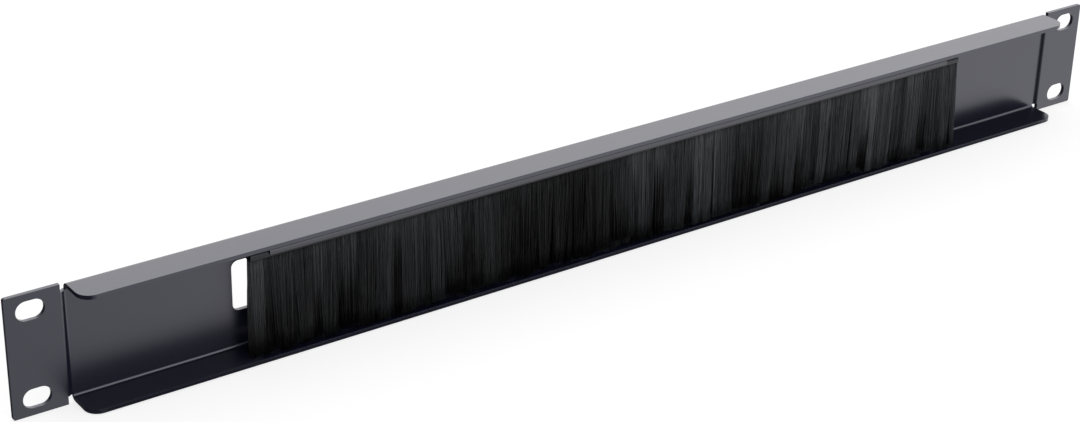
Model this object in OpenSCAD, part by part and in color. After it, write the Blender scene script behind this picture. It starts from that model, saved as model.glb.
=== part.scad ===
// Rack brush strip panel, one rack unit high, for a 19 inch cabinet.
// A folded steel sheet carries a strip brush on its rack side, just under the upper flange.
// The bristles hang like a curtain across a long cable opening in the sheet.
//
// Frame: +X along the panel, +Z up, +Y out of the cabinet towards the room.
// The origin is the middle of the four rack slots, on the ear faces that bear on the rack rails.

/* [Panel sheet] */
// Overall width over the two ears
panel_w = 482.6; // [476:0.1:490]
// Height of the ears
panel_h = 44; // [43.6:0.1:46]
// Sheet thickness
sheet_t = 1.5; // [1:0.1:2]
// Inner radius of the flange bends
bend_r = 1; // [0.6:0.1:1.4]
// Flat width of each ear, outside the joggle
ear_w = 19.2; // [17.5:0.1:21]
// Corner radius of the ears
ear_corner_r = 0.8; // [0.4:0.1:3]
// How far the face stands in front of the ears
joggle_depth = 1; // [0.6:0.1:1.6]
// Length of the joggle along the panel, which is also the width of the bend reliefs
joggle_run = 2.2; // [1.6:0.1:3]

/* [Flanges] */
// Height over the two flanges
flange_span = 43.2; // [42.8:0.1:45]
// How far the flanges reach into the rack, from the ear faces
flange_reach = 11.7; // [10:0.1:16]
// Radius of the flange corners
flange_corner_r = 5; // [1:0.5:6]

/* [Rack slots] */
// Distance from each end of the panel to the middle of its slots
slot_edge = 8.75; // [8:0.05:10]
// Distance between the upper and the lower slots
slot_pitch_z = 31.75; // [31:0.05:32.5]
// Slot length
slot_len = 10; // [8:0.1:12]
// Slot width
slot_h = 7; // [6:0.1:7.4]

/* [Cable opening] */
// Width of the opening
opening_w = 322; // [200:0.1:340]
// Height of the opening
opening_h = 18.7; // [12:0.1:28]
// Distance from the outside of the upper flange down to the opening
opening_z = 9.2; // [9:0.1:11]
// Radius of the opening's corners
opening_r = 2.5; // [1:0.1:5]

/* [Brush strip] */
// Length of the strip brush
brush_len = 320; // [200:1:330]
// Distance from the flange's front edge back to the middle of the brush
brush_setback = 2.4; // [2.2:0.1:3.4]
// Outer width of the strip channel, where it is widest
channel_w = 3.6; // [3.2:0.1:4.2]
// Height of the strip channel
channel_h = 2.2; // [2:0.1:3]
// Wall of the strip channel
channel_t = 0.5; // [0.3:0.05:0.6]
// Width of the bristles where they leave the crimped channel
mouth_w = 2.2; // [1.8:0.1:2.4]
// Diameter of the wire that the bristles are folded over
wire_d = 0.8; // [0.5:0.05:1]
// Thickness of the bristles folded over the wire
fold_t = 0.4; // [0.3:0.05:0.6]
// Thickness of the bristle curtain at its free end
curtain_t = 3.4; // [2.6:0.1:4]
// Space between the longest bristles and the lower flange
tip_gap = 0.6; // [0.3:0.1:4]
// Distance between the tufts
tuft_pitch = 2.5; // [2:0.1:5]
// Furthest that a tuft leans sideways at its free end
tuft_lean = 1.5; // [0:0.1:2]
// Furthest that a tuft falls short of the longest ones
tuft_short = 3.6; // [0:0.1:6]

/* [Carrier] */
// Distance from the ends of the brush in to the ends of the carrier rail
carrier_inset = 7; // [0:0.5:20]
// Sheet thickness of the carrier rail
carrier_t = 0.6; // [0.5:0.05:0.8]
// Inner radius of the carrier's bends
carrier_r = 0.3; // [0.2:0.05:0.5]
// Height of the carrier's front lip, over its outside
lip_h = 1.8; // [1.3:0.1:2.4]
// Strip of face left between the opening and the carrier
carrier_rise = 0.6; // [0.4:0.1:1]

/* [Rivets] */
// Number of rivets
rivet_count = 5; // [2:1:9]
// Distance from the ends of the carrier rail to the end rivets
rivet_edge = 13; // [6:0.5:40]
// Diameter of the rivet holes, which the set rivets fill
rivet_d = 3.2; // [2.4:0.1:3.6]
// Diameter of the rivet heads
rivet_head_d = 5.2; // [4.8:0.1:5.6]
// Height of the rivet heads
rivet_head_h = 1.2; // [0.8:0.1:2]
// Diameter of the set end behind the sheet
rivet_tail_d = 4.4; // [3.8:0.1:4.8]
// Length of the set end behind the sheet
rivet_tail_h = 2; // [1:0.1:2.6]

/* [Hidden] */
$fn = 64;

// Overrun of every cutter, so that no cut ends on a face.
cut = 1;

// The sheet: planes across the panel (Y) and along it (X and Z).
face_y = joggle_depth;
front_y = face_y + sheet_t;
ear_x = panel_w/2 - ear_w;
flange_x = ear_x - joggle_run;
flange_under = flange_span/2 - sheet_t;
relief_z = flange_under - bend_r;
slot_pitch_x = panel_w - 2*slot_edge;
joggle_steps = 10;
joggle_lap = 1;
opening_top = flange_span/2 - opening_z;

// The brush hangs under the upper flange, with the carrier's sheet between.
brush_y = brush_setback - flange_reach;
channel_top = flange_under - carrier_t;
mouth_z = channel_top - channel_h;
channel_r = 0.3;
crimp_slope = (channel_w/2 - channel_t - mouth_w/2)/(channel_h - channel_t - channel_r);
wire_z = channel_top - channel_t - wire_d/2 - fold_t;
packed_z = mouth_z + (wire_z - mouth_z)*0.7;
longest_tip_z = tip_gap - flange_under;

// The carrier: its length and rivets, and the middle planes of its folded sheet.
carrier_len = brush_len - 2*carrier_inset;
rivet_pitch = (carrier_len - 2*rivet_edge)/(rivet_count - 1);
lip_y = brush_y - channel_w/2 - carrier_t/2;
rear_wall_y = brush_y + channel_w/2 + carrier_t/2;
leg_y = face_y - carrier_t/2;
web_z = flange_under - carrier_t/2;
floor_z = opening_top + carrier_rise + carrier_t/2;
leg_top = relief_z - carrier_t/2;
rivet_z = (floor_z + carrier_t/2 + leg_top)/2;
rivet_bore_d = rivet_d/2;

// The tufts stand in rows, one behind the other, and each tuft is cut to one of the fans.
rows = 3;
row_gap = 0.12;
tuft_gap = 0.1;
tuft_taper = 0.9;
root_sink = 0.4;
fan_steps = [0, 0.45, -0.35];
tufts = floor(brush_len/tuft_pitch);
end_flare = 1;
sway = rands(-1, 1, rows*(tufts + 2), 7);
raggedness = rands(0, 1, rows*(tufts + 2), 19);

// Unit vector from a to b.
function heading(a, b) = (b - a)/norm(b - a);

// ---- Folded sheet -------------------------------------------------------

// Section of a sheet folded along a path of middle-line corners.
// Each corner becomes a bend of the given inner radius, and each stretch between is flat.
module folded_section(path, thickness, inner_r)
{
    last = len(path) - 1;
    mid_r = inner_r + thickness/2;
    turn = [for (i = [0 : last])
        i == 0 || i == last ? 0
        : acos(heading(path[i - 1], path[i])*heading(path[i], path[i + 1]))];
    setback = [for (a = turn) mid_r*tan(a/2)];

    for (i = [0 : last - 1]) {
        along = heading(path[i], path[i + 1]);
        across = [-along.y, along.x]*thickness/2;
        a = path[i] + along*setback[i];
        b = path[i + 1] - along*setback[i + 1];
        polygon([a - across, b - across, b + across, a + across]);
    }
    for (i = [1 : last - 1]) {
        before = heading(path[i - 1], path[i]);
        after = heading(path[i], path[i + 1]);
        centre = path[i] + heading([0, 0], after - before)*mid_r/cos(turn[i]/2);
        start = path[i] - before*setback[i];
        end = path[i] + after*setback[i];
        translate(centre) intersection() {
            difference() {
                circle(r = inner_r + thickness);
                circle(r = inner_r);
            }
            polygon([[0, 0], (start - centre)*2, (path[i] - centre)*3, (end - centre)*2]);
        }
    }
}

// Extrudes a section drawn in Y and Z along X, centred on the middle of the panel.
module along_panel(length)
{
    translate([-length/2, 0, 0]) rotate([90, 0, 90]) linear_extrude(height = length) children();
}

// Extrudes an outline drawn in X and Z along Y, from y0 to y1.
module through_panel(y0, y1)
{
    translate([0, y1, 0]) rotate([90, 0, 0]) linear_extrude(height = y1 - y0) children();
}

// ---- Panel --------------------------------------------------------------

// Face with both flanges bent back into the rack.
module flanged_face()
{
    face_mid = face_y + sheet_t/2;
    flange_mid = flange_span/2 - sheet_t/2;
    along_panel(2*flange_x)
        folded_section([[-flange_reach, -flange_mid], [face_mid, -flange_mid],
                        [face_mid, flange_mid], [-flange_reach, flange_mid]],
                       sheet_t, bend_r);
}

// Rack-side surface of the joggle in X and Y, at a share of its run from the face to the ear.
function joggle_point(share) =
    [(1 - share)*flange_x + share*ear_x, joggle_depth*(1 + cos(180*share))/2];

// The joggle that steps the sheet from the face down to one ear. Both its ends run on into the
// flat sheet, so that it is one with the face and the ear.
module joggle()
{
    rack_side = concat([joggle_point(0) - [joggle_lap, 0]],
                       [for (i = [0 : joggle_steps]) joggle_point(i/joggle_steps)],
                       [joggle_point(1) + [joggle_lap, 0]]);
    room_side = [for (i = [len(rack_side) - 1 : -1 : 0]) rack_side[i] + [0, sheet_t]];
    translate([0, 0, -relief_z])
        linear_extrude(height = 2*relief_z) polygon(concat(rack_side, room_side));
}

// One flat ear, with small radii on its outer corners.
module ear()
{
    difference() {
        translate([ear_x, 0, -panel_h/2]) cube([ear_w, sheet_t, panel_h]);
        for (s = [-1, 1])
            corner_cut(panel_w/2, s*panel_h/2, 1, s, ear_corner_r, 0, sheet_t);
    }
}

// Removes the outside of a rounded corner in X and Z. dir_x and dir_z point out of the corner.
module corner_cut(x, z, dir_x, dir_z, radius, y0, y1)
{
    through_panel(y0 - cut, y1 + cut)
        translate([x - dir_x*radius, z - dir_z*radius]) scale([dir_x, dir_z]) difference() {
            square(radius + cut);
            circle(r = radius);
        }
}

// Removes the outside of the rounded corner at one end of both flanges.
module flange_corner_cut()
{
    translate([flange_x - flange_corner_r, flange_corner_r - flange_reach, -flange_span/2 - cut])
        linear_extrude(height = flange_span + 2*cut) difference() {
            translate([0, -flange_corner_r - cut]) square(flange_corner_r + cut);
            circle(r = flange_corner_r);
        }
}

// One oblong rack slot through the sheet, long along X.
module rack_slot()
{
    straight = slot_len - slot_h;
    through_panel(-cut, sheet_t + cut) {
        for (s = [-1, 1]) translate([s*straight/2, 0]) circle(d = slot_h);
        square([straight, slot_h], center = true);
    }
}

// The long cable opening, with rounded corners.
module cable_opening()
{
    through_panel(face_y - cut, front_y + cut) translate([0, opening_top - opening_h/2]) {
        square([opening_w - 2*opening_r, opening_h], center = true);
        square([opening_w, opening_h - 2*opening_r], center = true);
        for (sx = [-1, 1], sz = [-1, 1])
            translate([sx*(opening_w/2 - opening_r), sz*(opening_h/2 - opening_r)])
                circle(r = opening_r);
    }
}

// Places its children at each rivet.
module at_rivets()
{
    for (i = [0 : rivet_count - 1])
        translate([(i - (rivet_count - 1)/2)*rivet_pitch, 0, rivet_z]) children();
}

// Clearance of one rivet shank between two planes.
module rivet_hole(y0, y1)
{
    translate([0, y1 + cut, 0]) rotate([90, 0, 0]) cylinder(d = rivet_d, h = y1 - y0 + 2*cut);
}

module panel()
{
    color("#55555c") difference() {
        union() {
            flanged_face();
            for (s = [0, 1]) mirror([s, 0, 0]) {
                joggle();
                ear();
            }
        }
        for (s = [0, 1]) mirror([s, 0, 0]) flange_corner_cut();
        for (sx = [-1, 1], sz = [-1, 1])
            translate([sx*slot_pitch_x/2, 0, sz*slot_pitch_z/2]) rack_slot();
        cable_opening();
        at_rivets() rivet_hole(face_y, front_y);
    }
}

// ---- Brush strip --------------------------------------------------------

// Rail folded from thin sheet: a lip and a wall hold the strip, and a leg is riveted to the face.
module brush_carrier()
{
    color("#3f3f46") difference() {
        along_panel(carrier_len)
            folded_section([[lip_y, flange_under - lip_h], [lip_y, web_z],
                            [rear_wall_y, web_z], [rear_wall_y, floor_z],
                            [leg_y, floor_z], [leg_y, leg_top]],
                           carrier_t, carrier_r);
        at_rivets() rivet_hole(face_y - carrier_t, face_y);
    }
}

// Outline in Y and Z that widens from the mouth to a flat top with round corners.
module crimped_outline(mouth_half, top, corner_r)
{
    centre_z = top - corner_r;
    centre_y = mouth_half + (centre_z - mouth_z)*crimp_slope - corner_r*sqrt(1 + crimp_slope^2);
    steps = 6;
    corner = [for (i = [0 : steps])
        let (a = 90*i/steps - atan(crimp_slope)*(1 - i/steps))
        [centre_y + corner_r*cos(a), centre_z + corner_r*sin(a)]];
    polygon(concat([[mouth_half, mouth_z]], corner,
                   [for (i = [steps : -1 : 0]) [-corner[i].x, corner[i].y]],
                   [[-mouth_half, mouth_z]]));
}

// U-shaped strip, closed at the top. Its walls are crimped on the bristles, closest at the mouth.
module strip_channel()
{
    color("#3f3f46") along_panel(brush_len) translate([brush_y, 0]) difference() {
        crimped_outline(mouth_w/2 + channel_t, channel_top, channel_r + channel_t);
        crimped_outline(mouth_w/2, channel_top - channel_t, channel_r);
    }
}

// Wire in the fold of the bristles.
module core_wire()
{
    color("#9a9a98") along_panel(brush_len) translate([brush_y, wire_z]) circle(d = wire_d);
}

// Bristles packed in the channel, folded over the wire.
module bristle_root()
{
    fold_r = wire_d/2 + fold_t;
    packed_half = mouth_w/2 + (packed_z - mouth_z)*crimp_slope;
    along_panel(brush_len) translate([brush_y, 0]) difference() {
        union() {
            polygon([[-mouth_w/2, mouth_z], [mouth_w/2, mouth_z], [packed_half, packed_z],
                     [fold_r, wire_z], [-fold_r, wire_z], [-packed_half, packed_z]]);
            translate([0, wire_z]) circle(r = fold_r);
        }
        translate([0, wire_z]) circle(d = wire_d);
    }
}

// Sideways place of a tuft's root, and of its free end, in one row.
function tuft_x(i) = (i + 0.5)*tuft_pitch - tufts*tuft_pitch/2;
function wander(i, row) = 0.6*sin(i*31 + row*140) + 0.4*sway[row*(tufts + 2) + i + 1];
function flare(i) = end_flare*pow(tuft_x(i)/(brush_len/2), 9);
function tip_x(i, row) = tuft_x(i) + tuft_lean*wander(i, row) + flare(i);

// Height of a tuft's free end. Tufts fall short one by one and in clumps.
function clump(i, row) = max(0, sin(i*17 + row*77) + sin(i*7.3 + row*31) - 0.9)/1.1;
function tip_z(i, row) =
    longest_tip_z + tuft_short*(0.3*raggedness[row*(tufts + 2) + i + 1] + 0.7*clump(i, row));

// Outline of one tuft in X and Z. Its free end keeps clear of both neighbours.
module tuft_outline(i, row)
{
    half_root = (tuft_pitch - tuft_gap)/2;
    half_tip = half_root*tuft_taper;
    x = tip_x(i, row);
    left = max(x - half_tip, (x + tip_x(i - 1, row) + tuft_gap)/2);
    right = min(x + half_tip, (x + tip_x(i + 1, row) - tuft_gap)/2);
    z = tip_z(i, row);
    polygon([[tuft_x(i) - half_root, mouth_z + root_sink],
             [tuft_x(i) + half_root, mouth_z + root_sink],
             [right, z + (right - left)*0.35],
             [(left + right)/2, z],
             [left, z + (right - left)*0.5]]);
}

// Slab of the curtain that one row of tufts fills, thin in the channel and wide at the tips.
// proud moves the free end towards the rack.
module row_fan(row, proud)
{
    root_0 = brush_y - mouth_w/2 + mouth_w*row/rows + row_gap/2;
    root_1 = root_0 + mouth_w/rows - row_gap;
    tip_0 = brush_y - curtain_t/2 + curtain_t*row/rows + row_gap/2 - proud;
    tip_1 = tip_0 + curtain_t/rows - row_gap;
    along_panel(brush_len + 4*tuft_lean + 4*end_flare)
        polygon([[root_0, mouth_z + root_sink], [root_0, mouth_z], [tip_0, longest_tip_z],
                 [tip_1, longest_tip_z], [root_1, mouth_z], [root_1, mouth_z + root_sink]]);
}

// Rows of tufts, each with its own lean, length and reach, on one packed root.
module bristles()
{
    color("#1b1d1c") union() {
        bristle_root();
        for (row = [0 : rows - 1], step = [0 : len(fan_steps) - 1])
            intersection() {
                through_panel(brush_y - curtain_t, brush_y + curtain_t)
                    for (i = [step : len(fan_steps) : tufts - 1]) tuft_outline(i, row);
                row_fan(row, fan_steps[step]);
            }
    }
}

// ---- Rivets -------------------------------------------------------------

// Blind rivet: domed head on the room side, set end behind the carrier's leg, open bore.
module rivet()
{
    grip = sheet_t + carrier_t;
    dome_r = (rivet_head_h*rivet_head_h + rivet_head_d*rivet_head_d/4)/(2*rivet_head_h);
    rotate([-90, 0, 0]) rotate_extrude() difference() {
        union() {
            translate([0, -grip]) square([rivet_d/2, grip]);
            translate([0, -grip - rivet_tail_h]) square([rivet_tail_d/2, rivet_tail_h]);
            intersection() {
                translate([0, rivet_head_h - dome_r]) circle(r = dome_r);
                square([rivet_head_d/2, rivet_head_h]);
            }
        }
        translate([0, -grip - rivet_tail_h/2])
            square([rivet_bore_d/2, grip + rivet_tail_h/2 + rivet_head_h + cut]);
    }
}

module rivets()
{
    color("#4c4c52") at_rivets() translate([0, front_y, 0]) rivet();
}

panel();
brush_carrier();
strip_channel();
core_wire();
bristles();
rivets();
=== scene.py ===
# %% [markdown]
# # A rack brush strip panel
#
# A folded steel sheet closes one row of a server cabinet. A strip brush hangs under its upper
# flange, and cables pass through the bristles. The CAD model already holds every rigid piece at its
# real size. This lesson loads it as a fixed frame, gives each metal piece its finish, and replaces
# the plain CAD tufts by thousands of bent filaments.

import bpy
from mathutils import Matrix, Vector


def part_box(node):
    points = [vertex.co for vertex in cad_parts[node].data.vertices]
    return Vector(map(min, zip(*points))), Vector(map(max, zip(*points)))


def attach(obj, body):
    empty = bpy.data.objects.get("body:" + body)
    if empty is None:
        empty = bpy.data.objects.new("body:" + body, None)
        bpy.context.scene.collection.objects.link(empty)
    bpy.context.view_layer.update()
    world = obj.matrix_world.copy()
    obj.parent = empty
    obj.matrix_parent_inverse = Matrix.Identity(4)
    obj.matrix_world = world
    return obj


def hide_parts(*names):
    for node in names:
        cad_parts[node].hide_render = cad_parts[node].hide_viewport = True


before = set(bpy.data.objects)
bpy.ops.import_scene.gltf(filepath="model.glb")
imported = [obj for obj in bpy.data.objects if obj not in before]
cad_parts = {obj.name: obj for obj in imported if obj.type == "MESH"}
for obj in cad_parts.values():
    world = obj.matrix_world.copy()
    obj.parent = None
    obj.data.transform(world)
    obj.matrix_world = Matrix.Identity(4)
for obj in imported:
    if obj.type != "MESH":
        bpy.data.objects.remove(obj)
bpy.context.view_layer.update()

import math
import bmesh
import bpy
import numpy as np
from mathutils import Quaternion, Vector

print("CAD nodes:", ", ".join(sorted(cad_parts)))

# %% [markdown]
# ## Places read from the frame
#
# Nothing below repeats a coordinate of the CAD model. Where the brush hangs is read from the boxes
# of its own nodes: the channel gives the mouth that the filaments leave, the wire gives the fold,
# and the plain tufts give how low and how far sideways the new filaments may reach. A box can't tell
# how thick the channel is and how far it is crimped at the mouth, so these two sizes are named here.

# %% Read the boxes
MM = 0.001
panel_low, panel_high = (Vector(corner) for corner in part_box("panel"))
channel_low, channel_high = (Vector(corner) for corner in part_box("strip_channel"))
wire_low, wire_high = (Vector(corner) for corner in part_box("core_wire"))
tufts_low, tufts_high = (Vector(corner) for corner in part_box("bristles"))

channel_wall = 0.5*MM
crimp = 0.2*MM
brush_y = (wire_low.y + wire_high.y)/2
wire_z = (wire_low.z + wire_high.z)/2
wire_r = (wire_high.z - wire_low.z)/2
mouth_z = channel_low.z
mouth_half = (channel_high.y - channel_low.y)/2 - channel_wall - crimp
brush_half = (channel_high.x - channel_low.x)/2
drop = mouth_z - tufts_low.z
print(f"brush {2*brush_half/MM:.0f} mm long, bristles {drop/MM:.1f} mm free")

# %% [markdown]
# ## The camera
#
# The panel is seen from its rack side, from above and from the left. A camera is easiest to describe
# by what it looks at, from which side and from how far. The lens is a short telephoto, so the far
# end of the panel is about a quarter smaller than the near one.

# %% Set the camera
def look_at(name, aim, azimuth, elevation, roll, distance, lens):
    """Adds a camera. Azimuth turns it from +Y towards +X, and elevation raises it."""
    turn, rise = math.radians(azimuth), math.radians(elevation)
    gaze = Vector((math.sin(turn)*math.cos(rise), math.cos(turn)*math.cos(rise), -math.sin(rise)))
    camera = bpy.data.objects.new(name, bpy.data.cameras.new(name))
    camera.data.lens = lens
    camera.data.clip_start = 0.01
    camera.location = aim - gaze*distance
    camera.rotation_mode = "QUATERNION"
    camera.rotation_quaternion = (gaze.to_track_quat("-Z", "Y")
                                  @ Quaternion((0, 0, 1), math.radians(roll)))
    bpy.context.scene.collection.objects.link(camera)
    return camera


bpy.context.scene.camera = look_at("camera", aim=Vector((-36.0, 0, -1.4))*MM, azimuth=35.64,
                                   elevation=26.09, roll=1.30, distance=0.840, lens=77.26)
print("camera stands at", tuple(round(v, 3) for v in bpy.context.scene.camera.location))

# %% [markdown]
# ## Helpers for materials
#
# A material is a small network of nodes. A few helpers keep the networks readable: one adds a node and
# fills its inputs with numbers or with other nodes' outputs, one mixes two colours, and the others
# start a material or a node group and place a group. A colour Mix node has more sockets than it shows:
# number 0 is the factor, 6 and 7 are its two colours, and 2 is the colour that comes out.

# %% Node helpers
def add(tree, kind, inputs=None, **settings):
    """Adds a shader node, sets its options, and fills inputs with values or links."""
    node = tree.nodes.new("ShaderNode" + kind)
    for key, value in settings.items():
        setattr(node, key, value)
    for key, value in (inputs or {}).items():
        if isinstance(value, bpy.types.NodeSocket):
            tree.links.new(value, node.inputs[key])
        else:
            node.inputs[key].default_value = value
    return node


def mix_colour(tree, factor, dark, light):
    """Output of a Mix node between two colours."""
    mix = add(tree, "Mix", {0: factor, 6: (*dark, 1), 7: (*light, 1)}, data_type="RGBA")
    return mix.outputs[2]


def start_material(name, inputs):
    """Starts a material with one Principled BSDF, and gives its tree and that shader."""
    made = bpy.data.materials.new(name)
    made.use_nodes = True
    shader = made.node_tree.nodes["Principled BSDF"]
    for key, value in inputs.items():
        shader.inputs[key].default_value = value
    return made, made.node_tree, shader


def start_group(name, inputs, outputs):
    """Starts a node group with float inputs and outputs, and gives its tree and its two ends."""
    tree = bpy.data.node_groups.new(name, "ShaderNodeTree")
    for title, value in inputs.items():
        socket = tree.interface.new_socket(title, in_out="INPUT", socket_type="NodeSocketFloat")
        socket.default_value = value
    for title in outputs:
        tree.interface.new_socket(title, in_out="OUTPUT", socket_type="NodeSocketFloat")
    return tree, tree.nodes.new("NodeGroupInput"), tree.nodes.new("NodeGroupOutput")


def place_group(tree, group, inputs):
    """Places a node group in a material, with its own values."""
    node = tree.nodes.new("ShaderNodeGroup")
    node.node_tree = group
    for key, value in inputs.items():
        node.inputs[key].default_value = value
    return node


print("helpers:", ", ".join(helper.__name__ for helper in (add, mix_colour, start_material, start_group,
                                                          place_group)))

# %% [markdown]
# ## Powder coat
#
# Powder coat is sprayed on as dry plastic and melts in an oven. It never flows quite flat: a fine
# orange peel stays, a millimetre or two across, and the gloss drifts a little over the sheet. The
# sheet, the carrier, the channel and the rivets are all coated, so the effect is one node group with
# named inputs. It puts out a height for the bumps and a drift for tone and gloss. A texture could be
# painted on the unwrapped sheet instead, but noise has no seams and needs no unwrapping.

# %% Orange peel group
def build_orange_peel():
    """Node group: fine bumps of melted powder, and a slow drift of tone."""
    tree, given, out = start_group("orange_peel", {"Peel Size": 1.6, "Drift Size": 60.0},
                                   ["Height", "Drift"])
    place = add(tree, "TexCoord").outputs["Object"]
    peel_scale = add(tree, "Math", {0: 1/MM, 1: given.outputs["Peel Size"]}, operation="DIVIDE")
    drift_scale = add(tree, "Math", {0: 1/MM, 1: given.outputs["Drift Size"]}, operation="DIVIDE")
    peel = add(tree, "TexNoise", {"Vector": place, "Scale": peel_scale.outputs[0], "Detail": 2.0})
    drift = add(tree, "TexNoise", {"Vector": place, "Scale": drift_scale.outputs[0], "Detail": 3.0})
    tree.links.new(peel.outputs["Fac"], out.inputs["Height"])
    tree.links.new(drift.outputs["Fac"], out.inputs["Drift"])
    return tree


orange_peel = build_orange_peel()
print("orange peel outputs:", [s.name for s in orange_peel.interface.items_tree if s.in_out == "OUTPUT"])

# %% [markdown]
# A laser cuts the sheet to sharp edges, but the melted powder rounds them to about a tenth of a
# millimetre, and that round edge is what catches the light. Bevelling the CAD mesh isn't needed for
# it: the Bevel node bends the normal near an edge.
#
# The coat is nearly black, and most of its tone is what it mirrors. So the base drifts between two
# very dark tones, and a high IOR gives the strong gloss of a filled paint. A touch of blue in the
# base and in the gloss makes it a cool black. The channel is coated too, but dull, so it has less
# shine. A noise seldom comes near 0 or 1, so its usual range is stretched over the whole drift.

# %% Coated materials
NOISE_RANGE = {"From Min": 0.3, "From Max": 0.7}
GLOSS_DRIFT = 0.02
BUMP_HEIGHT = 0.01*MM


def coated(name, dark, light, roughness, edge_radius, peel_size, shine=0.5):
    """Material: powder coat with orange peel, soft edges and a slow drift of tone and gloss."""
    made, tree, shader = start_material(name, {"IOR": 1.78, "Specular Tint": (0.90, 0.90, 1.0, 1),
                                               "Specular IOR Level": shine})
    peel = place_group(tree, orange_peel, {"Peel Size": peel_size})
    tone = add(tree, "MapRange", {"Value": peel.outputs["Drift"], **NOISE_RANGE})
    colour = mix_colour(tree, tone.outputs[0], dark, light)
    gloss = add(tree, "MapRange", {"Value": peel.outputs["Drift"], **NOISE_RANGE,
                                   "To Min": roughness - GLOSS_DRIFT, "To Max": roughness + GLOSS_DRIFT})
    edge = add(tree, "Bevel", {"Radius": edge_radius}, samples=4)
    bump = add(tree, "Bump", {"Strength": 0.25, "Distance": BUMP_HEIGHT,
                              "Height": peel.outputs["Height"], "Normal": edge.outputs[0]})
    tree.links.new(colour, shader.inputs["Base Color"])
    tree.links.new(gloss.outputs[0], shader.inputs["Roughness"])
    tree.links.new(bump.outputs[0], shader.inputs["Normal"])
    return made


panel_coat = coated("panel_coat", dark=(0.0058, 0.0060, 0.018), light=(0.0080, 0.0082, 0.022),
                    roughness=0.24, edge_radius=0.09*MM, peel_size=1.6)
carrier_coat = coated("carrier_coat", dark=(0.009, 0.009, 0.012), light=(0.013, 0.013, 0.017),
                      roughness=0.35, edge_radius=0.1*MM, peel_size=1.2)
channel_coat = coated("channel_coat", dark=(0.006, 0.006, 0.008), light=(0.009, 0.009, 0.012),
                      roughness=0.42, edge_radius=0.1*MM, peel_size=1.2, shine=0.22)
rivet_coat = coated("rivet_coat", dark=(0.010, 0.010, 0.014), light=(0.014, 0.014, 0.019),
                    roughness=0.30, edge_radius=0.2*MM, peel_size=0.9)
print("coats:", panel_coat.name, carrier_coat.name, channel_coat.name, rivet_coat.name)

# %% [markdown]
# ## Drawn steel
#
# The core of the brush is drawn wire, and its two ends show in the fold of the bristles. The die
# leaves fine lines along its length. A noise that is stretched along X gives them: the Mapping node
# squeezes the pattern across and leaves it long. The lines vary the roughness and a shallow bump.

# %% Drawn steel group and material
def build_drawn_lines():
    """Node group: fine lines along X, left by the die."""
    tree, given, out = start_group("drawn_lines", {"Line Width": 0.15, "Line Length": 20.0}, ["Lines"])
    place = add(tree, "TexCoord").outputs["Object"]
    across = add(tree, "Math", {0: 1/MM, 1: given.outputs["Line Width"]}, operation="DIVIDE")
    along = add(tree, "Math", {0: 1/MM, 1: given.outputs["Line Length"]}, operation="DIVIDE")
    stretch = add(tree, "CombineXYZ", {0: along.outputs[0], 1: across.outputs[0], 2: across.outputs[0]})
    placed = add(tree, "Mapping", {"Vector": place, "Scale": stretch.outputs[0]})
    noise = add(tree, "TexNoise", {"Vector": placed.outputs[0], "Scale": 1.0, "Detail": 2.0})
    tree.links.new(noise.outputs["Fac"], out.inputs["Lines"])
    return tree


def drawn_steel(name, colour, line_width):
    """Material: bare steel with fine lines along X."""
    made, tree, shader = start_material(name, {"Base Color": (*colour, 1), "Metallic": 1.0})
    lines = place_group(tree, drawn_lines, {"Line Width": line_width})
    gloss = add(tree, "MapRange", {"Value": lines.outputs[0], "To Min": 0.28, "To Max": 0.52})
    bump = add(tree, "Bump", {"Strength": 0.3, "Distance": BUMP_HEIGHT, "Height": lines.outputs[0]})
    tree.links.new(gloss.outputs[0], shader.inputs["Roughness"])
    tree.links.new(bump.outputs[0], shader.inputs["Normal"])
    return made


drawn_lines = build_drawn_lines()
wire_steel = drawn_steel("wire_steel", colour=(0.50, 0.50, 0.50), line_width=0.08)
print("steel:", wire_steel.name)

# %% [markdown]
# ## Nylon filament
#
# The bristles are black nylon. Close together they look almost black, and single filaments and
# whole clumps differ a little, because they catch the light at different angles. Each filament
# carries its own tone as a mesh attribute, with that light and shade painted in. It runs from 0 where
# painted shade makes it black to 1 where painted light catches it, and the material mixes two blacks
# by it. Nylon is only dully glossy, so the gloss is kept low.

# %% Filament material
def filament_material(name, dark, light, roughness):
    """Material: black nylon, toned by the attribute that each filament carries, with painted light and
    shade.
    """
    made, tree, shader = start_material(name, {"IOR": 1.5, "Roughness": roughness,
                                               "Specular IOR Level": 0.2})
    tone = add(tree, "Attribute", attribute_name="tone")
    tree.links.new(mix_colour(tree, tone.outputs["Fac"], dark, light), shader.inputs["Base Color"])
    return made


nylon = filament_material("nylon", dark=(0.0030, 0.0032, 0.0034), light=(0.140, 0.147, 0.160),
                          roughness=0.5)
print("filament material:", nylon.name)

# %% [markdown]
# ## The imported root
#
# A strip brush is made from a long bundle of filaments that is folded over a wire and pressed into a
# steel channel. The fold shows at the two ends of the strip. It could be modelled filament by
# filament, but inside the channel they are imported solid, so one hairpin section is enough: an edge
# as long as the fold is thick is spun half a turn over the wire, both ends are drawn down to the
# mouth, and the section is extruded along the strip.
#
# Every piece made here is finished the same way: it rides on the panel, takes its material, and
# replaces the CAD node that it stands for.

# %% Spin and extrude the root
def to_mesh(name, bm):
    """Turns a bmesh into a mesh."""
    mesh = bpy.data.meshes.new(name)
    bm.to_mesh(mesh)
    bm.free()
    return mesh


def finish_piece(name, mesh, material, slot, *nodes):
    """Makes an object of a mesh. It rides on the panel, takes a finish and replaces CAD nodes."""
    piece = bpy.data.objects.new(name, mesh)
    bpy.context.scene.collection.objects.link(piece)
    mesh.materials.clear()
    mesh.materials.append(material)
    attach(piece, "root")
    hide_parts(*nodes)
    return piece


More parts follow.
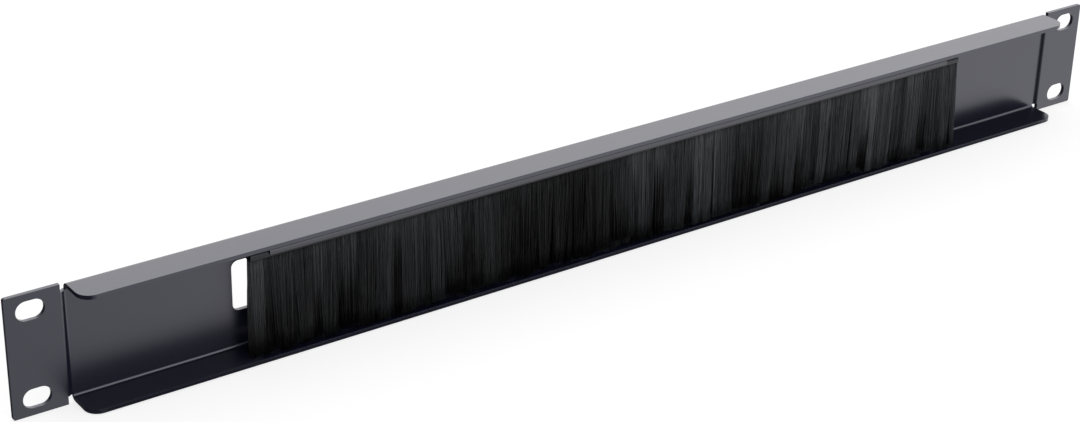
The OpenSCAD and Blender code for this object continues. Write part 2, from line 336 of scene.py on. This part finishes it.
def build_root():
    """Packed filaments in the channel: a hairpin section over the wire, extruded along X."""
    fold = 0.4*MM
    half_seam = 0.02*MM
    bm = bmesh.new()
    start = [bm.verts.new((-brush_half, brush_y - r, wire_z)) for r in (wire_r, wire_r + fold)]
    edge = bm.edges.new(start)
    spun = bmesh.ops.spin(bm, geom=[*start, edge], cent=(-brush_half, brush_y, wire_z),
                          axis=(1, 0, 0), angle=-math.pi, steps=14)
    last = [part for part in spun["geom_last"] if isinstance(part, bmesh.types.BMEdge)]
    for leg_end in (edge, *last):
        leg = bmesh.ops.extrude_edge_only(bm, edges=[leg_end])["geom"]
        for vert in (part for part in leg if isinstance(part, bmesh.types.BMVert)):
            offset = vert.co.y - brush_y
            side = math.copysign(1, offset)
            outer = abs(offset) > wire_r + fold/2
            vert.co.y = brush_y + side*(mouth_half if outer else half_seam)
            vert.co.z = mouth_z
    section = bmesh.ops.extrude_face_region(bm, geom=bm.faces[:])["geom"]
    bmesh.ops.translate(bm, verts=[part for part in section if isinstance(part, bmesh.types.BMVert)],
                        vec=(2*brush_half, 0, 0))
    bmesh.ops.recalc_face_normals(bm, faces=bm.faces)
    return finish_piece("bristle_root", to_mesh("bristle_root", bm), nylon, "bristle", "bristles")


root = build_root()
print("root faces:", len(root.data.polygons))

# %% [markdown]
# ## One filament
#
# Hair curves would be the quickest way to a brush, but a part for a library needs real meshes. So a
# filament is a long thin prism. Three sides are enough at this size, and they keep thousands of
# filaments light. It starts as a cone with a thinner tip, and its long edges are subdivided so that
# it can bend. Its length and the radius of its root are both 1, from the root at the top to the tip at
# the bottom, and its place and real size come later.

# %% Model one filament
RINGS = 7
TIP_TAPER = 0.6


def build_filament():
    """One straight filament of length 1, as a mesh that the Array modifier can copy."""
    bm = bmesh.new()
    bmesh.ops.create_cone(bm, cap_ends=True, segments=3, radius1=TIP_TAPER, radius2=1.0, depth=1.0)
    sides = [e for e in bm.edges if abs(e.verts[0].co.z - e.verts[1].co.z) > 0.5]
    bmesh.ops.subdivide_edges(bm, edges=sides, cuts=RINGS - 2, use_grid_fill=True)
    bmesh.ops.translate(bm, verts=bm.verts, vec=(0, 0, -0.5))
    return to_mesh("filament", bm)


filament = build_filament()
print("one filament:", len(filament.vertices), "points,", len(filament.polygons), "faces")

# %% [markdown]
# ## Clumps
#
# Loose bristles never stand evenly. Neighbours stick together in clumps a few millimetres wide, each
# clump leans its own way, and dark gaps open between them towards the tips. So the strip is first
# divided into clumps of random width. Each clump gets a lean, a pinch of its tips, a step forwards or
# back, a shortfall, a tone, and the share of its fall from which a painted shade turns it dark. Half a
# dozen neighbours lean much the same way, because a hand or a cable has passed over them. A filament
# then looks up the clump that it grows in.

# %% Divide the strip into clumps
NARROW, WIDE = 2*MM, 8*MM
SAME_WAY = 6


def make_clumps(rng):
    """Random clumps along the strip, as arrays with one value per clump."""
    widths = rng.uniform(NARROW, WIDE, int(2*brush_half/NARROW) + 2)
    edges = np.concatenate([[0], np.cumsum(widths)]) - brush_half
    count = len(widths)
    turns = np.arange(0, count + SAME_WAY, SAME_WAY)
    drift = np.interp(np.arange(count), turns, rng.uniform(-1, 1, len(turns)))
    return {"edges": edges, "centre": (edges[:-1] + edges[1:])/2,
            "lean": (0.9*drift + 0.7*rng.uniform(-1, 1, count))*MM,
            "pinch": rng.uniform(0.05, 0.5, count),
            "proud": rng.uniform(-0.9, 0.9, count)*MM,
            "short": 3.2*MM*rng.uniform(0, 1, count)**3,
            # Where a painted shade turns the clump dark, as a share of its fall.
            "painted_shade_at": rng.uniform(0.45, 1.6, count),
            "tone": rng.uniform(0.35, 1.0, count)}


print("a strip holds about", round(2*brush_half/((NARROW + WIDE)/2)), "clumps")

# %% [markdown]
# ## Paths of the filaments
#
# The filaments leave the mouth in layers, from the rack side to the room side, and fan out as they
# hang. A path runs from a place in the mouth, out along the fan, to its own tip in its own clump.
# It is kept as a few numbers for each filament, and each of them is spread a little at random. The fan
# stays inside the box of the plain tufts, and a tip may stand a little off the fan. At the two ends of
# the strip nothing holds the outer filaments, so they flare out, and three in a hundred anywhere are
# strays that lean further.

# %% Choose the paths
FLARE = 0.8*MM
FAN_INSET, FAN_SLACK = 0.35*MM, 0.2*MM
STRAYS = 0.03
SPREAD = {"lean": 0.45*MM, "fan": 0.15*MM, "length": 0.5*MM, "stray": 1.6*MM, "bow": 0.35*MM}


def filament_paths(rng, count, across, clumps):
    """Numbers of each filament: root, tip, bow and tone. across runs from -1, the rack side, to 1."""
    x = rng.uniform(-brush_half, brush_half, count)
    side = rng.uniform(*across, count)
    clump = np.clip(np.searchsorted(clumps["edges"], x) - 1, 0, len(clumps["centre"]) - 1)
    own = {key: value[clump] for key, value in clumps.items() if key != "edges"}
    tip_x = x + (own["centre"] - x)*own["pinch"] + own["lean"] + FLARE*(x/brush_half)**9
    tip_x += rng.normal(0, SPREAD["lean"], count)
    fan = (tufts_high.y - tufts_low.y)/2 - FAN_INSET
    tip_y = side*fan + own["proud"]/2 + rng.normal(0, SPREAD["fan"], count)
    length = drop - own["short"] - np.abs(rng.normal(0, SPREAD["length"], count))
    strays = rng.uniform(0, 1, count) > 1 - STRAYS
    tip_x[strays] += rng.normal(0, SPREAD["stray"], strays.sum())
    return {"x": x, "y": side*mouth_half, "tip_x": tip_x,
            "tip_y": np.clip(tip_y, -fan - FAN_SLACK, fan + FAN_SLACK), "length": length,
            "bow": rng.normal(0, SPREAD["bow"], count), "painted_shade_at": own["painted_shade_at"],
            "tone": own["tone"]*rng.uniform(0.75, 1.0, count)}


sample = filament_paths(np.random.default_rng(1), 1000, (-1, 1), make_clumps(np.random.default_rng(1)))
print(f"lengths {sample['length'].min()/MM:.1f} to {sample['length'].max()/MM:.1f} mm")

# %% [markdown]
# ## Tone and painted light of the filaments
#
# Every point of a filament carries a tone, and most of it is painted light and shade. Broad bands along
# the strip are painted brighter or darker, as the light falls more or less on the brush. A few places
# along the strip with a brightness each are enough for them. Downwards a painted shade darkens the
# filaments. From half a fall above its clump's dark point, a filament sinks into painted black, the
# shade of the deep gaps between clumps, sooner on the left than on the lit right side. So the lower
# edge turns black in places.

# %% Paint light and shade into the points
PAINTED_LIGHT_PLACES = (-1, -0.6, -0.15, 0.03, 0.2, 0.34, 0.75, 1)
PAINTED_LIGHT_TONES = (0.55, 0.42, 0.06, 0.9, 0.8, 0.42, 1.1, 0.65)
PAINTED_SHADE_LENGTH = 0.5
PAINTED_LIT_SIDE = 0.15
PAINTED_FADE = 0.45


def smooth(value):
    """Eases a value from 0 to 1."""
    held = np.clip(value, 0, 1)
    return held*held*(3 - 2*held)


def tones_with_painted_light(paths, fall):
    """Tone of each point: its clump's tone, times painted light in bands along the strip and painted
    shade downwards.
    """
    along = paths["x"]/brush_half
    # Painted light: broad bands along the strip, brighter or darker.
    band = np.interp(along, PAINTED_LIGHT_PLACES, PAINTED_LIGHT_TONES)
    # Painted shade: it sets in half a fall above the clump's dark point, later on the lit right side.
    painted_shade_from = paths["painted_shade_at"] + PAINTED_LIT_SIDE*(1 + along) - PAINTED_SHADE_LENGTH
    painted_shade = smooth((fall - painted_shade_from[:, None])/PAINTED_SHADE_LENGTH)
    # The clump's tone, times the painted bands, a painted fade downwards and the painted black of the
    # gaps.
    return (paths["tone"]*band)[:, None]*(1 - PAINTED_FADE*fall)*(1 - painted_shade)


tip_tones = tones_with_painted_light(sample, np.ones((1000, 1)))
print(f"{(tip_tones < 0.05).mean():.0%} of the tips are nearly black")

# %% [markdown]
# ## Copy and bend
#
# The Array modifier copies the one filament once for each path, all in one place. numpy then bends the
# copies: every point knows its filament by its number, and its share of the fall by its z. A random
# turn about its own axis keeps the three sides of the prisms from lining up.
#
# Below the mouth the fan opens fast and then hangs straighter, while the lean along the strip grows
# towards the tip. That is what two powers of the fall give. Each filament also bows a little, and
# starts a short way up inside the mouth, so that no gap shows there.

# %% Bend the copies
FILAMENT_R = 0.15*MM
ROOT_DEPTH = 0.4*MM


def bend(co, paths):
    """Moves the copies' points, shaped (filament, point, xyz), onto their paths."""
    each = {key: value[:, None] for key, value in paths.items()}
    share = -co[..., 2]
    fall = np.clip(share, 0, 1)
    thick_x = (co[..., 0]*np.cos(each["turn"]) - co[..., 1]*np.sin(each["turn"]))*FILAMENT_R
    thick_y = (co[..., 0]*np.sin(each["turn"]) + co[..., 1]*np.cos(each["turn"]))*FILAMENT_R
    lean = (each["tip_x"] - each["x"])*fall**1.3
    fan_out = (each["tip_y"] - each["y"])*(1 - (1 - fall)**1.8)
    x = each["x"] + lean + each["bow"]*np.sin(np.pi*fall) + thick_x
    y = brush_y + each["y"] + fan_out + thick_y
    z = mouth_z + ROOT_DEPTH - (each["length"] + ROOT_DEPTH)*share
    return np.stack([x, y, z], axis=-1)


print(f"a filament is {2*FILAMENT_R/MM:.1f} mm thick and starts {ROOT_DEPTH/MM:.1f} mm inside the mouth")

# %% Copy the filament
def copy_filament(count):
    """Mesh with count copies of the filament, all in the same place."""
    one = bpy.data.objects.new("one_filament", filament)
    bpy.context.scene.collection.objects.link(one)
    array = one.modifiers.new("copies", "ARRAY")
    array.count = count
    array.use_relative_offset = False
    array.use_constant_offset = True
    array.constant_offset_displace = (0, 0, 0)
    copies = one.evaluated_get(bpy.context.evaluated_depsgraph_get())
    mesh = bpy.data.meshes.new_from_object(copies)
    bpy.data.objects.remove(one)
    return mesh


def hang_filaments(name, paths):
    """Copies the filament once for each path and bends the copies, as one piece."""
    count = len(paths["x"])
    mesh = copy_filament(count)
    co = np.empty(len(mesh.vertices)*3)
    mesh.vertices.foreach_get("co", co)
    co = co.reshape(count, -1, 3)
    mesh.vertices.foreach_set("co", bend(co, paths).ravel())
    # The tone holds each clump's tone with painted light and shade.
    tone = mesh.attributes.new("tone", "FLOAT", "POINT")
    tone.data.foreach_set("value", tones_with_painted_light(paths, np.clip(-co[..., 2], 0, 1)).ravel())
    mesh.shade_smooth()
    mesh.update()
    return finish_piece(name, mesh, nylon, "bristle", "bristles")


print("points to bend for each filament:", len(filament.vertices))

# %% [markdown]
# ## Layers of bristles
#
# Four layers make the curtain, each with its own clumps and from its own seed, so that the brush comes
# out the same each time. The sheet is glossy enough to mirror the end of the brush as a black band
# beside the open slot, and in a studio a strip of white card would light that spot. Here the last
# millimetres of each layer are a piece of their own that mirror rays pass by. Everything else about
# them stays as it is.

# %% Make the layers
END_LENGTH = 6*MM


def brush_layer(name, count, across, seed):
    """One layer of bristles in two pieces: the end beside the open slot, and the rest of the strip."""
    rng = np.random.default_rng(seed)
    turn = rng.uniform(0, 2*np.pi, count)
    paths = {"turn": turn, **filament_paths(rng, count, across, make_clumps(rng))}
    at_end = paths["x"] < END_LENGTH - brush_half
    end = hang_filaments(name + "_end", {key: value[at_end] for key, value in paths.items()})
    end.visible_glossy = False
    rest = hang_filaments(name, {key: value[~at_end] for key, value in paths.items()})
    return end, rest


LAYERS = {"bristles_rack_outer": (-1.0, -0.5), "bristles_rack_inner": (-0.5, 0.0),
          "bristles_room_inner": (0.0, 0.5), "bristles_room_outer": (0.5, 1.0)}
for seed, (name, across) in enumerate(LAYERS.items(), start=11):
    pieces = brush_layer(name, count=4600, across=across, seed=seed)
    print(name, [len(piece.data.polygons) for piece in pieces], "faces")

# %% [markdown]
# ## Dress the CAD pieces
#
# The rigid pieces keep their CAD meshes, which have the right shape already. Only their material
# slots change.

# %% Assign the finishes
for node, material in {"panel": panel_coat, "brush_carrier": carrier_coat, "rivets": rivet_coat,
                       "strip_channel": channel_coat, "core_wire": wire_steel}.items():
    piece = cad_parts[node]
    piece.data.materials.clear()
    piece.data.materials.append(material)
    print(node, "wears", material.name)

# %% [markdown]
# ## Contact shade
#
# Gloss is to see the background through the floor, so that the coat doesn't mirror grey paint. But
# close to the lower flange a real floor is dark, because the panel shades it. So a strip along the
# panel stays dark for gloss, and fades out with the distance. It is wider on the left, away from the
# light, and ends before the ears, which have no flange to shade the floor.

# %% Shade the strip beside the panel
SHADE_LEFT, SHADE_RIGHT = 20*MM, 7*MM
SHADE_START, SHADE_FULL = 19*MM, 29*MM


def contact_shade(tree):
    """1 on the floor close to the panel and 0 further off."""
    place = add(tree, "SeparateXYZ", {0: add(tree, "TexCoord").outputs["Object"]})
    ahead = add(tree, "Math", {0: panel_low.y, 1: place.outputs["Y"]}, operation="SUBTRACT")
    behind = add(tree, "Math", {0: place.outputs["Y"], 1: panel_high.y}, operation="SUBTRACT")
    away = add(tree, "Math", {0: ahead.outputs[0], 1: behind.outputs[0]}, operation="MAXIMUM")
    reach = add(tree, "MapRange", {"Value": place.outputs["X"], "From Min": panel_low.x,
                                   "From Max": panel_high.x, "To Min": SHADE_LEFT, "To Max": SHADE_RIGHT})
    near = add(tree, "MapRange", {"Value": away.outputs[0], "From Max": reach.outputs[0],
                                  "To Min": 1.0, "To Max": 0.0}, interpolation_type="SMOOTHSTEP")
    out = add(tree, "Math", {0: place.outputs["X"]}, operation="ABSOLUTE")
    within = add(tree, "MapRange", {"Value": out.outputs[0], "From Min": panel_high.x - SHADE_FULL,
                                    "From Max": panel_high.x - SHADE_START,
                                    "To Min": 1.0, "To Max": 0.0})
    both = add(tree, "Math", {0: near.outputs[0], 1: within.outputs[0]}, operation="MULTIPLY")
    return both.outputs[0]


print(f"the dark strip narrows from {SHADE_LEFT/MM:.0f} mm on the left to {SHADE_RIGHT/MM:.0f} mm")

# %% [markdown]
# ## Floor
#
# The panel stands on a plain pale floor in front of white. For the camera, the floor adds a little
# light of its own, so that it reads as white and still shows the soft shadow where the panel meets
# it. Brighter lamps would make it white too, but they would wash out the black coat. For gloss it is
# see-through beyond the dark strip, and for every other ray it is plain pale paint. Light Path tells
# the kinds of ray apart.

# %% Lay the floor
def seen_directly(tree, path):
    """1 for rays that a viewer sees, straight or through glass, and 0 for all others."""
    return add(tree, "Math", {0: path.outputs["Is Camera Ray"], 1: path.outputs["Is Transmission Ray"]},
               operation="MAXIMUM").outputs[0]


def floor_paint():
    """Material: pale paint, nearly white for the camera and see-through for gloss."""
    paint, tree, shader = start_material("floor_paint", {"Base Color": (0.8, 0.8, 0.8, 1),
                                                         "Roughness": 0.9, "Specular IOR Level": 0.0})
    path = add(tree, "LightPath")
    pale = add(tree, "BsdfDiffuse", {"Color": (0.45, 0.45, 0.45, 1)})
    glow = add(tree, "Emission", {"Strength": 0.72})
    bright = add(tree, "AddShader", {0: pale.outputs[0], 1: glow.outputs[0]})
    white = add(tree, "MixShader", {0: seen_directly(tree, path), 1: shader.outputs[0],
                                    2: bright.outputs[0]})
    clear = add(tree, "BsdfTransparent")
    dark = add(tree, "Emission", {"Strength": 0.05})
    shaded = add(tree, "MixShader", {0: contact_shade(tree), 1: clear.outputs[0], 2: dark.outputs[0]})
    all_rays = add(tree, "MixShader", {0: path.outputs["Is Glossy Ray"], 1: white.outputs[0],
                                       2: shaded.outputs[0]})
    tree.links.new(all_rays.outputs[0], tree.nodes["Material Output"].inputs["Surface"])
    return paint


def build_floor():
    """Pale floor under the lowest edge of the panel."""
    bm = bmesh.new()
    bmesh.ops.create_grid(bm, x_segments=1, y_segments=1, size=4)
    bmesh.ops.translate(bm, verts=bm.verts, vec=(0, 0, panel_low.z))
    mesh = to_mesh("floor", bm)
    mesh.materials.append(floor_paint())
    floor = bpy.data.objects.new("floor", mesh)
    bpy.context.scene.collection.objects.link(floor)
    return floor


floor = build_floor()
print("floor at", round(panel_low.z/MM, 1), "mm")

# %% [markdown]
# ## What the gloss sees
#
# In a studio the light comes from one side, and semi-gloss paint shows that room. So gloss sees a
# room of its own: dark low on the left, a middle grey ahead, and bright on the right and above. How
# far a direction points to the right, and less so upwards, decides it, in two soft steps. Panels of
# card around the object could give the same, but they would stand in the way in other views. What is
# mirrored for a second time is dimmed, because the corners between flange and brush are dark.

# %% Brightness of the mirrored room
RIGHT_AND_UP = (1, 0, 0.4)
DIM_STEP = {"From Min": -0.47, "From Max": -0.17, "To Min": 0.06, "To Max": 0.5}
LIT_STEP = {"From Min": -0.10, "From Max": 0.36, "To Min": 0.0, "To Max": 0.8}
MIRRORED_AGAIN = 0.2


def mirrored_room(tree, path):
    """Brightness that gloss sees in each direction."""
    side = add(tree, "VectorMath", {0: add(tree, "TexCoord").outputs["Generated"], 1: RIGHT_AND_UP},
               operation="DOT_PRODUCT")
    dim, lit = (add(tree, "MapRange", {"Value": side.outputs["Value"], **step},
                    interpolation_type="SMOOTHSTEP").outputs[0] for step in (DIM_STEP, LIT_STEP))
    once = add(tree, "Math", {0: dim, 1: lit}, operation="ADD")
    again = add(tree, "Math", {0: path.outputs["Glossy Depth"], 1: 1.5}, operation="GREATER_THAN")
    left = add(tree, "MapRange", {"Value": again.outputs[0], "To Min": 1.0, "To Max": MIRRORED_AGAIN})
    seen = add(tree, "Math", {0: once.outputs[0], 1: left.outputs[0]}, operation="MULTIPLY")
    return seen.outputs[0]


print("the mirrored room runs from", DIM_STEP["To Min"], "to", DIM_STEP["To Max"] + LIT_STEP["To Max"])

# %% [markdown]
# ## Background
#
# The camera sees plain white. Gloss sees the room above, and all other rays get a soft even light
# from every side, so that nothing in the shade is lost.

# %% Build the world
def build_world(soft_light):
    """White background, with its own brightness for gloss and for soft light."""
    world = bpy.data.worlds.new("studio")
    world.use_nodes = True
    tree = world.node_tree
    tree.nodes.clear()
    path = add(tree, "LightPath")
    even = add(tree, "Background", {"Strength": soft_light})
    room = add(tree, "Background", {"Color": (1, 1, 1, 1), "Strength": mirrored_room(tree, path)})
    white = add(tree, "Background", {"Color": (1, 1, 1, 1), "Strength": 1.0})
    soft = add(tree, "MixShader", {0: path.outputs["Is Glossy Ray"], 1: even.outputs[0],
                                   2: room.outputs[0]})
    mix = add(tree, "MixShader", {0: seen_directly(tree, path), 1: soft.outputs[0], 2: white.outputs[0]})
    add(tree, "OutputWorld", {"Surface": mix.outputs[0]})
    bpy.context.scene.world = world
    return world


world = build_world(soft_light=0.8)
bpy.context.scene.view_settings.view_transform = "Standard"
print("background:", world.name)

# %% [markdown]
# ## Studio light
#
# Semi-gloss paint shows what it reflects. One large softbox stands behind and above the panel on the
# right, where the upper flange mirrors it towards the camera, so the flange is the brightest face and
# the light rises towards the right end. A second, weaker one in front fills the face and the brush.

# %% Place the softboxes
def softbox(name, place, aim, width, height, power):
    """Adds a rectangular area lamp that faces a point."""
    lamp = bpy.data.objects.new(name, bpy.data.lights.new(name, "AREA"))
    lamp.data.shape = "RECTANGLE"
    lamp.data.size, lamp.data.size_y = width, height
    lamp.data.energy = power
    lamp.location = place
    lamp.rotation_mode = "QUATERNION"
    lamp.rotation_quaternion = (Vector(aim) - Vector(place)).to_track_quat("-Z", "Y")
    bpy.context.scene.collection.objects.link(lamp)
    return lamp


softbox("back_softbox", place=(0.70, 0.90, 0.75), aim=(0.05, 0, 0), width=1.6, height=0.9, power=2.9)
softbox("front_softbox", place=(0.30, -1.2, 0.9), aim=(0, 0, 0), width=1.2, height=0.8, power=2.5)
